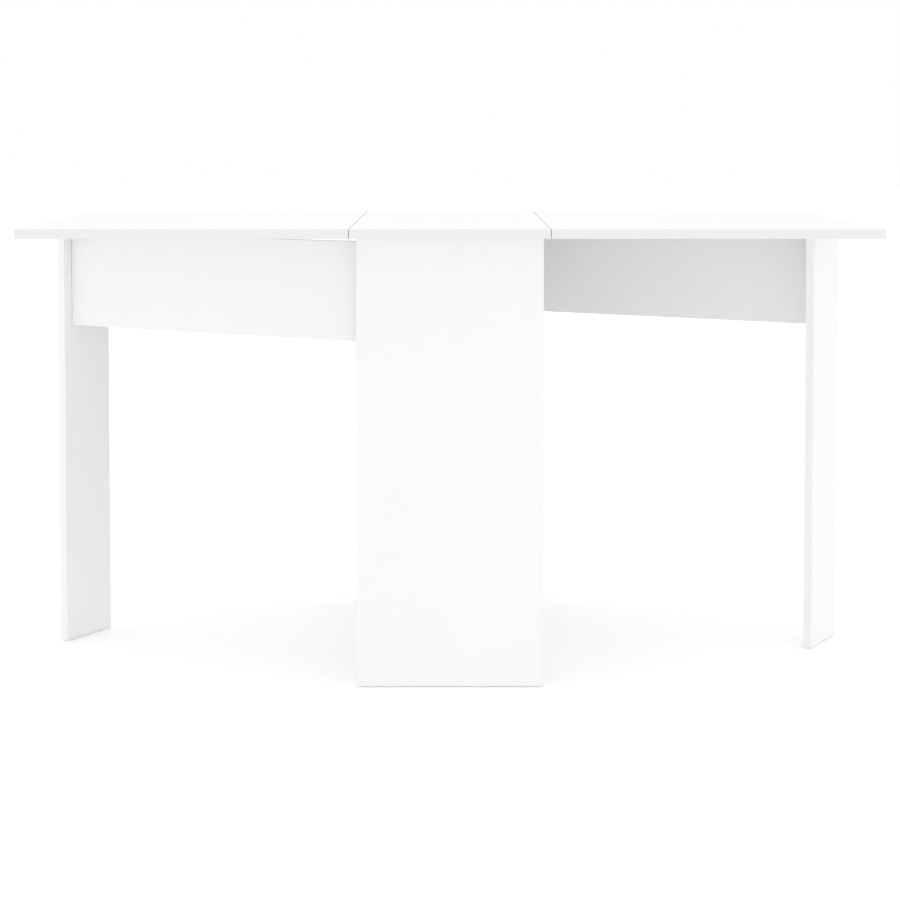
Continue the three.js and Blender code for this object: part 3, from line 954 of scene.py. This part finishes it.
def bracket_shape(node, settings):
    """A bent angle bracket with round corners, a pressed rib in the bend, and screw holes."""
    fittings = settings.fittings
    matrix, size = bracket_frame(node)
    leg, steel, bend = size.z, fittings.bracket_thickness, fittings.bracket_bend
    half = min(size.x, size.y) / 2
    section = [(leg, 0)] + arc(bend + steel, -bend - steel, bend + steel, 90, 180, 8) + [(0, -leg)]
    section += [(steel, -leg)] + arc(bend + steel, -bend - steel, bend, 180, 90, 8) + [(leg, -steel)]
    lay = frame_of((0, 1, 0), (0, 0, 1), (1, 0, 0), (0, 0, 0))
    strip = moved(prism(section, -half, half), lay)
    tip, short = leg - 0.1 * MM, 1.5 * steel
    corners = [
        edge for edge in strip.edges
        if all(max(vertex.co.y, -vertex.co.z) > tip for vertex in edge.verts)
        and edge.calc_length() < short]
    bmesh.ops.bevel(
        strip, geom=corners, offset=fittings.bracket_corner, segments=6, profile=0.5, affect="EDGES")
    eased(strip, 0.2 * MM, angle=60)
    rib = bmesh.new()
    bmesh.ops.create_uvsphere(rib, u_segments=24, v_segments=12, radius=1)
    rib_width, rib_length, rib_height = 2.2 * MM, 4.6 * MM, 1.7 * MM
    spread = Matrix.Diagonal((rib_width, rib_length, rib_height, 1))
    spot = steel + 0.45 * bend
    lean = Matrix.Translation((0, spot, -spot)) @ Matrix.Rotation(math.radians(45), 4, "X") @ spread
    whole = combined(strip, [moved(rib, lean)], "UNION")
    inverse = matrix.inverted()
    drills = [countersink(inverse @ place, settings.screws) for place in bracket_screws(node, settings)]
    return combined(whole, drills, "DIFFERENCE"), matrix


# ---- Cams, bolts, dowels, glides and stops ----
def cross_tool(half_width, arm, depth, top):
    """A cross for a screwdriver, cut down from z = top."""
    return [box((half_width, arm / 2, depth), (0, 0, top)), box((arm / 2, half_width, depth), (0, 0, top))]


def cam_shape(node, settings):
    """A cam with a stepped rim, a slot for its bolt's head, a cross, and a pointer on its face."""
    fittings = settings.fittings
    matrix = cam_frame(node)
    radius, low, high = round_size(node, matrix)
    edge, play = 0.5 * MM, 0.6 * MM
    step = high - 2 * MM
    cross, arm, depth = fittings.cam_cross, 1.3 * MM, 1.9 * MM
    profile = [
        (0, low), (radius - 1.2 * MM, low), (radius - edge, low + edge), (radius - edge, step - edge),
        (radius, step), (radius, high - edge), (radius - edge, high),
        (radius - 1.3 * MM, high), (radius - 1.6 * MM, high - edge),
        (cross + 1.4 * MM, high - edge), (cross + 1.1 * MM, high), (0, high),
    ]
    slot = fittings.cam_slot
    throat = box((radius, slot, slot), (radius, 0, 0))
    neck = box((radius, fittings.bolt_shaft + play, slot), (radius, 0, -slot))
    tip, back, spread = radius - 1.0 * MM, cross + 0.8 * MM, 0.9 * MM
    pointer = prism([(tip, 0), (back, spread), (back, -spread)], high - 0.8 * MM, high + 1 * MM)
    tools = [throat, neck, pointer, *cross_tool(cross, arm, depth, high)]
    return combined(turned(profile, 40), tools, "DIFFERENCE"), matrix


def bolt_shape(node, settings):
    """A cam bolt: a coarse thread for the panel, a collar, a shaft, and a round head."""
    fittings = settings.fittings
    matrix = bolt_frame(node)
    low, high = round_size(node, matrix)[1:]
    head, shaft, collar = fittings.bolt_head, fittings.bolt_shaft, fittings.bolt_collar
    pitch, ridge, rim = fittings.bolt_pitch, 0.75 * MM, 0.4 * MM
    facets, steps_a_turn = 24, 8
    start = 0.2 * MM
    run = high - start

    def thread(z):
        taper = min(1.0, (high - z) / (1.5 * MM) + 0.25) * min(1.0, (z - start) / MM + 0.2)
        crest = fittings.bolt_thread * min(1.0, 0.7 + 0.3 * taper)

        def radius(angle):
            phase = (z / pitch - angle / (2 * math.pi)) % 1.0
            return crest - ridge * abs(2 * phase - 1) ** 1.5 * taper
        return radius

    plain = [
        (head - rim, low), (head, low + rim), (head, low + 2.2 * MM), (head - rim, low + 2.6 * MM),
        (shaft, low + 3.6 * MM), (shaft, -2.4 * MM), (collar - rim, -2 * MM), (collar, -1.6 * MM),
        (collar, -0.7 * MM), (collar - rim, -0.3 * MM),
    ]
    rises = round(run / pitch * steps_a_turn)
    heights = [start + run * step / rises for step in range(rises + 1)]
    rings = [circle(facets, z, radius) for radius, z in plain]
    return lofted(rings + [circle(facets, z, thread(z)) for z in heights]), matrix


def dowel_shape(node, settings):
    """A fluted dowel with chamfered ends, in its own frame."""
    fittings = settings.fittings
    matrix = dowel_frame(node)
    radius, low, high = round_size(node, matrix)
    chamfer = 1 * MM
    depths = [fittings.flute_depth * share for share in (0, 0.6, 1, 0.6)]
    around = fittings.flutes * len(depths)

    def fluted(inset):
        return lambda angle: radius - inset - depths[round(angle / (2 * math.pi) * around) % len(depths)]

    levels = [(low, chamfer), (low + chamfer, 0), (0, 0), (high - chamfer, 0), (high, chamfer)]
    bm = lofted([circle(around, z, fluted(inset)) for z, inset in levels])
    own = bm.verts.layers.float_vector.new("own_place")
    for vertex in bm.verts:
        vertex[own] = vertex.co
    return bm, matrix


def glide_shape(node, settings):
    """A nail-on glide: a rounded nylon disc, and a steel nail whose head sits in its foot."""
    fittings = settings.fittings
    matrix = glide_frame(node)
    radius, _, high = round_size(node, matrix)
    height, nail = fittings.glide_height, fittings.glide_nail
    bore = nail + 0.05 * MM
    head, seat = 2.6 * MM, 0.7 * MM
    edge, recess = 0.7 * MM, head + 0.1 * MM
    foot = [(head + 0.5 * MM, 0)] + arc(radius - edge, edge, edge, -90, 0, 5)
    crown = arc(radius - edge, height - edge, edge, 0, 90, 5)
    well = [(bore, height), (bore, seat + 0.05 * MM), (recess, seat), (recess, 0.3 * MM)]
    disc = painted(turned(foot + crown + well, 32, closed=True), 0)
    point = 2.2 * MM
    nail_profile = [
        (0, 0.25 * MM), (head - 0.3 * MM, 0.3 * MM), (head, 0.45 * MM), (head, 0.65 * MM), (nail, seat),
        (nail, high - point), (0, high),
    ]
    return joined(disc, painted(turned(nail_profile, 20), 1)), matrix


def stop_screws(node, settings):
    """Frames at a stop's screws, each with +Z down out of its well."""
    matrix, half = stop_frame(node)
    depth = settings.fittings.stop_well - half.z
    return [matrix @ aimed((x, 0, depth), (0, 0, -1)) for x in (-0.5 * half.x, 0.5 * half.x)]


def stop_shape(node, settings):
    """A moulded stop: rounded block, two screw wells, and a hollow between them."""
    fittings, screws = settings.fittings, settings.screws
    matrix, half = stop_frame(node)
    outline = rounded(half.x, half.y, fittings.stop_corner)
    block = eased(prism(outline, -half.z, half.z), 0.7 * MM, steps=3, angle=60)
    well = fittings.stop_well - half.z
    wide, narrow = screws.head + 0.6 * MM, screws.shank + 0.4 * MM
    mouth, past = wide + 0.4 * MM, 2 * half.z
    profile = [
        (0, -past), (mouth, -past), (mouth, -half.z), (wide, 0.5 * MM - half.z), (wide, well),
        (narrow, well + screws.head_depth), (narrow, past), (0, past),
    ]
    tools = [
        moved(turned(profile, 28), Matrix.Translation((x, 0, 0))) for x in (-0.5 * half.x, 0.5 * half.x)]
    hollow, wall = 2 * MM, 2.2 * MM
    tools.append(prism(rounded(hollow, half.y - wall, 1 * MM), -past, 3 * MM))
    return combined(block, tools, "DIFFERENCE"), matrix


# ---- Screws, made by Geometry Nodes ----
class Tree(NodeMaker):
    """A Geometry Nodes tree under construction, with named inputs."""

    def __init__(self, name):
        super().__init__(bpy.data.node_groups.new(name, "GeometryNodeTree"))
        self.sockets = {}
        self.start = self.tree.nodes.new("NodeGroupInput")

    def input(self, name, kind, **options):
        """A named input of the tree."""
        socket = self.tree.interface.new_socket(name=name, in_out="INPUT", socket_type=kind)
        for key, value in options.items():
            setattr(socket, key, value)
        self.sockets[name] = socket.identifier

    def __getitem__(self, name):
        """The value of a named input, inside the tree."""
        return self.start.outputs[name]

    def made(self, kind, sockets=None, output=0, **options):
        """Adds a node and gives back one of its outputs."""
        return self.add(kind, sockets, **options).outputs[output]

    def math(self, operation, first, second):
        """A sum, difference or product of two numbers."""
        return self.made("ShaderNodeMath", {0: first, 1: second}, operation=operation)

    def shifted(self, geometry, z):
        """Geometry moved along Z."""
        offset = self.made("ShaderNodeCombineXYZ", {"Z": z})
        return self.made("GeometryNodeTransform", {"Geometry": geometry, "Translation": offset})

    def finish(self, geometry):
        """Ends the tree with Realize Instances and Set Material."""
        self.tree.interface.new_socket(
            name="Geometry", in_out="OUTPUT", socket_type="NodeSocketGeometry")
        real = self.made("GeometryNodeRealizeInstances", {"Geometry": geometry})
        dressed = self.made("GeometryNodeSetMaterial", {"Geometry": real, "Material": self["Material"]})
        self.tree.links.new(dressed, self.tree.nodes.new("NodeGroupOutput").inputs[0])
        return self


def screw_tree():
    """A countersunk screw with a cross in its head and a helical thread, at each point of a mesh.

    A point's "aim" says which way its screw's head looks."""
    tree = Tree("Countersunk Screws")
    tree.input("Geometry", "NodeSocketGeometry")
    for name in (
            "Head Radius", "Head Depth", "Shank Radius", "Thread Height", "Length",
            "Recess Radius", "Recess Slot", "Recess Depth"):
        tree.input(name, "NodeSocketFloat", subtype="DISTANCE", min_value=0.0)
    tree.input("Thread Turns", "NodeSocketFloat", default_value=7.0, min_value=0.0)
    tree.input("Seed", "NodeSocketInt")
    tree.input("Material", "NodeSocketMaterial")

    def cone(low_radius, high_radius, depth, sides):
        sockets = {
            "Vertices": sides, "Radius Top": high_radius, "Radius Bottom": low_radius, "Depth": depth}
        return tree.made("GeometryNodeMeshCone", sockets)

    head_sides, shank_sides = 24, 14
    point = tree.math("MULTIPLY", tree["Shank Radius"], 2.5)
    under_head = tree.math("SUBTRACT", tree["Length"], tree["Head Depth"])
    socket = tree.math("ADD", tree["Recess Depth"], 0.1 * MM)
    straight = tree.math("SUBTRACT", tree.math("SUBTRACT", tree["Length"], point), socket)
    floor = tree.math("MULTIPLY", tree["Length"], -1.0)
    head = tree.shifted(
        cone(tree["Shank Radius"], tree["Head Radius"], tree["Head Depth"], head_sides),
        tree.math("MULTIPLY", tree["Head Depth"], -1.0))
    shank = tree.shifted(
        cone(tree["Shank Radius"], tree["Shank Radius"], straight, shank_sides),
        tree.math("ADD", floor, point))
    tip = tree.shifted(cone(0.1 * MM, tree["Shank Radius"], point, shank_sides), floor)
    turns = {
        "Resolution": 12, "Rotations": tree["Thread Turns"],
        "Height": tree.math("MULTIPLY", under_head, 0.8),
        "Start Radius": tree.math("MULTIPLY", tree["Shank Radius"], 0.6),
        "End Radius": tree["Shank Radius"],
    }
    ridge = tree.made("GeometryNodeCurvePrimitiveCircle", {"Resolution": 3, "Radius": tree["Thread Height"]})
    helix = tree.made("GeometryNodeCurveSpiral", turns)
    thread = tree.made(
        "GeometryNodeCurveToMesh", {"Curve": helix, "Profile Curve": ridge, "Fill Caps": True})
    lift = tree.math("ADD", floor, tree.math("MULTIPLY", point, 0.7))
    body = tree.made("GeometryNodeJoinGeometry", {"Geometry": [tip, shank, tree.shifted(thread, lift)]})

    width = tree.math("MULTIPLY", tree["Recess Radius"], 2.0)
    deep = tree.math("MULTIPLY", tree["Recess Depth"], 2.0)
    arms = []
    for across, along in ((width, tree["Recess Slot"]), (tree["Recess Slot"], width)):
        size = tree.made("ShaderNodeCombineXYZ", {"X": across, "Y": along, "Z": deep})
        arms.append(tree.made("GeometryNodeMeshCube", {"Size": size}))
    socketed = tree.made(
        "GeometryNodeMeshBoolean", {"Mesh 1": head, "Mesh 2": arms}, operation="DIFFERENCE",
        solver="MANIFOLD")
    screw = tree.made("GeometryNodeJoinGeometry", {"Geometry": [socketed, body]})

    aim = tree.made("GeometryNodeInputNamedAttribute", {"Name": "aim"}, data_type="FLOAT_VECTOR")
    lean = tree.made("FunctionNodeAlignRotationToVector", {"Vector": aim}, axis="Z")
    angle = tree.made(
        "FunctionNodeRandomValue", {3: math.pi, "Seed": tree["Seed"]}, output=1, data_type="FLOAT")
    spin = tree.made("FunctionNodeAxisAngleToRotation", {"Axis": (0, 0, 1), "Angle": angle})
    turn = tree.made(
        "FunctionNodeRotateRotation", {"Rotation": lean, "Rotate By": spin}, rotation_space="LOCAL")
    placed = tree.made(
        "GeometryNodeInstanceOnPoints", {"Points": tree["Geometry"], "Instance": screw, "Rotation": turn})
    return tree.finish(placed)


def make_screws(name, body, places, size, tree, settings):
    """One mesh of screws for a body, with a screw at each of the given frames."""
    screws = settings.screws
    points = bpy.data.meshes.new(name)
    points.from_pydata([place.translation for place in places], [], [])
    aim = points.attributes.new("aim", "FLOAT_VECTOR", "POINT")
    aim.data.foreach_set("vector", [value for place in places for value in place.col[2].xyz])
    holder = linked(name, points)
    modifier = holder.modifiers.new("screws", "NODES")
    modifier.node_group = tree.tree
    values = {
        "Head Radius": screws.head, "Head Depth": screws.head_depth, "Shank Radius": screws.shank,
        "Thread Height": screws.thread, "Length": size, "Recess Radius": screws.recess,
        "Recess Slot": screws.recess_slot, "Recess Depth": screws.recess_depth, "Seed": screws.seed,
        "Material": finish("satin_nickel"),
    }
    for socket, value in values.items():
        modifier[tree.sockets[socket]] = value
    mesh = plain_mesh(holder)
    mesh.name = name
    piece = linked(name, smoothed(mesh, CREASE))
    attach(piece, body)


def screw_groups(settings):
    """Every screw's frame, by the name of its piece, its body and its length."""
    groups = {}
    screws = settings.screws

    def put(kind, node, size, places):
        body = NODES[node]["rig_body"]
        groups.setdefault((f"{body}_{kind}_screws", body, size), []).extend(places)

    for node in PLATES:
        matrix = plate_frame(node)[0]
        put("hinge", node, screws.short, [matrix @ place for place in plate_screws(node, settings)])
    for node in BRACKETS:
        put("bracket", node, screws.short, bracket_screws(node, settings))
    for node in STOPS:
        put("stop", node, screws.long, stop_screws(node, settings))
    return groups


# ---- Stage ----
def floor_finish(settings):
    """Pale studio floor, with the faint glow of a lit table."""
    made = Finish("studio_floor")
    grain = made.noise(3, 3)
    tone = made.mix(made.ranged(grain, 0, 1), shade(settings.floor, 0.99), settings.floor)
    made.shader.inputs["Emission Color"].default_value = (1, 1, 1, 1)
    made.shader.inputs["Emission Strength"].default_value = settings.floor_glow
    return made.look(tone, made.ranged(grain, 0.7, 0.8), (grain, 0.1 * MM))


def softbox(name, place, target, size, watts):
    """A soft area light at a place, looking at a target."""
    light = bpy.data.lights.new(name, "AREA")
    light.shape = "RECTANGLE"
    light.size, light.size_y = size
    light.energy = watts
    lamp = linked(name, light)
    lamp.location = place
    lamp.rotation_euler = (Vector(target) - Vector(place)).to_track_quat("-Z", "Y").to_euler()


# ---- Operators ----
def make_boards(nodes, context):
    """The finished boards for several nodes."""
    for node in nodes:
        make_board(node, context.scene.gateleg)


def make_fittings(nodes, shape, finishes, context, crease=CREASE):
    """The finished fittings for several nodes of one kind, from the function that shapes them."""
    for node in nodes:
        bm, matrix = shape(node, context.scene.gateleg)
        finished(node, bm, matrix, finishes, crease)


class GATELEG_OT_tops(Operator):
    """Make the fixed top and the two leaves"""
    bl_idname = "gateleg.tops"
    bl_label = "Top and Leaves"
    bl_options = {"REGISTER", "UNDO"}

    def execute(self, context):
        make_boards(BOARDS[:3], context)
        return {"FINISHED"}


class GATELEG_OT_base(Operator):
    """Make the two panels and the spine between them"""
    bl_idname = "gateleg.base"
    bl_label = "Panels and Spine"
    bl_options = {"REGISTER", "UNDO"}

    def execute(self, context):
        make_boards(BOARDS[3:6], context)
        return {"FINISHED"}


class GATELEG_OT_gates(Operator):
    """Make the rails and legs of the two gates"""
    bl_idname = "gateleg.gates"
    bl_label = "Gates"
    bl_options = {"REGISTER", "UNDO"}

    def execute(self, context):
        make_boards(BOARDS[6:], context)
        return {"FINISHED"}


class GATELEG_OT_hinge_plates(Operator):
    """Make the rolled plates of all butt hinges"""
    bl_idname = "gateleg.hinge_plates"
    bl_label = "Hinge Plates"
    bl_options = {"REGISTER", "UNDO"}

    def execute(self, context):
        make_fittings(PLATES, plate_shape, ["satin_nickel"], context)
        return {"FINISHED"}


class GATELEG_OT_hinge_pins(Operator):
    """Make the domed pins of all butt hinges"""
    bl_idname = "gateleg.hinge_pins"
    bl_label = "Hinge Pins"
    bl_options = {"REGISTER", "UNDO"}

    def execute(self, context):
        make_fittings(PINS, pin_shape, ["satin_nickel"], context)
        return {"FINISHED"}


class GATELEG_OT_brackets(Operator):
    """Make the angle brackets that hold the top"""
    bl_idname = "gateleg.brackets"
    bl_label = "Brackets"
    bl_options = {"REGISTER", "UNDO"}

    def execute(self, context):
        make_fittings(BRACKETS, bracket_shape, ["satin_nickel"], context)
        return {"FINISHED"}


class GATELEG_OT_cams(Operator):
    """Make the cams in the spine and the bolts that they draw in"""
    bl_idname = "gateleg.cams"
    bl_label = "Cams and Bolts"
    bl_options = {"REGISTER", "UNDO"}

    def execute(self, context):
        make_fittings(CAMS, cam_shape, ["cast_zinc"], context)
        make_fittings(BOLTS, bolt_shape, ["cast_zinc"], context, THREAD_CREASE)
        return {"FINISHED"}


class GATELEG_OT_dowels(Operator):
    """Make the fluted dowels of the gates"""
    bl_idname = "gateleg.dowels"
    bl_label = "Dowels"
    bl_options = {"REGISTER", "UNDO"}

    def execute(self, context):
        make_fittings(DOWELS, dowel_shape, ["raw_beech"], context)
        return {"FINISHED"}


class GATELEG_OT_glides(Operator):
    """Make the nylon glides under panels and legs"""
    bl_idname = "gateleg.glides"
    bl_label = "Glides"
    bl_options = {"REGISTER", "UNDO"}

    def execute(self, context):
        make_fittings(GLIDES, glide_shape, ["white_nylon", "satin_nickel"], context)
        return {"FINISHED"}


class GATELEG_OT_stops(Operator):
    """Make the stops that an open gate meets"""
    bl_idname = "gateleg.stops"
    bl_label = "Gate Stops"
    bl_options = {"REGISTER", "UNDO"}

    def execute(self, context):
        make_fittings(STOPS, stop_shape, ["white_nylon"], context)
        return {"FINISHED"}


class GATELEG_OT_screws(Operator):
    """Make every countersunk screw, one mesh for each body and kind"""
    bl_idname = "gateleg.screws"
    bl_label = "Screws"
    bl_options = {"REGISTER", "UNDO"}

    def execute(self, context):
        settings = context.scene.gateleg
        tree = screw_tree()
        for (name, body, size), places in screw_groups(settings).items():
            make_screws(name, body, places, size, tree, settings)
        return {"FINISHED"}


class GATELEG_OT_stage(Operator):
    """Make the floor, the soft light and the camera"""
    bl_idname = "gateleg.stage"
    bl_label = "Studio"
    bl_options = {"REGISTER", "UNDO"}

    def execute(self, context):
        stage = context.scene.gateleg.stage
        reach, depth = 30, 0.02
        slab = box((reach, reach, depth / 2), (0, 0, -depth / 2))
        floor = linked("floor", as_mesh(slab, "floor"))
        floor.data.materials.append(floor_finish(stage))
        scene = context.scene
        world = bpy.data.worlds.new("white_surround")
        world.use_nodes = True
        surround = world.node_tree.nodes["Background"].inputs
        surround["Color"].default_value = (1, 1, 1, 1)
        surround["Strength"].default_value = stage.sky
        scene.world = world
        scene.view_settings.view_transform = "Standard"
        above, middle, wide = (0.2, -0.4, 3.0), (0, 0, 0.4), (3.0, 3.0)
        softbox("top_light", above, middle, wide, stage.top_light)
        camera = bpy.data.cameras.new("camera")
        camera.lens = stage.lens
        camera.shift_y = stage.shift
        viewer = linked("camera", camera)
        viewer.location = (0, -stage.distance, stage.height)
        viewer.rotation_euler = (math.radians(90) - stage.tilt, 0, 0)
        scene.camera = viewer
        return {"FINISHED"}


STEPS = (
    GATELEG_OT_tops, GATELEG_OT_base, GATELEG_OT_gates, GATELEG_OT_hinge_plates, GATELEG_OT_hinge_pins,
    GATELEG_OT_brackets, GATELEG_OT_cams, GATELEG_OT_dowels, GATELEG_OT_glides, GATELEG_OT_stops,
    GATELEG_OT_screws, GATELEG_OT_stage,
)


class GATELEG_PT_table(Panel):
    """The table's steps and settings"""
    bl_idname = "GATELEG_PT_table"
    bl_label = "Gateleg Table"
    bl_space_type = "VIEW_3D"
    bl_region_type = "UI"
    bl_category = "Gateleg Table"

    def draw(self, context):
        for step in STEPS:
            self.layout.operator(step.bl_idname)
        for group in ("boards", "hinges", "screws", "fittings", "finishes", "stage"):
            settings = getattr(context.scene.gateleg, group)
            column = self.layout.column(heading=group.title())
            for name in settings.__annotations__:
                column.prop(settings, name)


CLASSES = (
    BoardSettings, HingeSettings, ScrewSettings, FittingSettings, FinishSettings, StageSettings,
    TableSettings, *STEPS, GATELEG_PT_table,
)


def register():
    """Registers the classes, and gives each scene the table's settings."""
    for item in CLASSES:
        bpy.utils.register_class(item)
    bpy.types.Scene.gateleg = PointerProperty(type=TableSettings)


def unregister():
    """Removes the settings and the classes."""
    del bpy.types.Scene.gateleg
    for item in reversed(CLASSES):
        bpy.utils.unregister_class(item)


def main():
    """Makes every piece in order."""
    register()
    for step in STEPS:
        group, name = step.bl_idname.split(".")
        getattr(getattr(bpy.ops, group), name)()


if __name__ == "__main__":
    main()
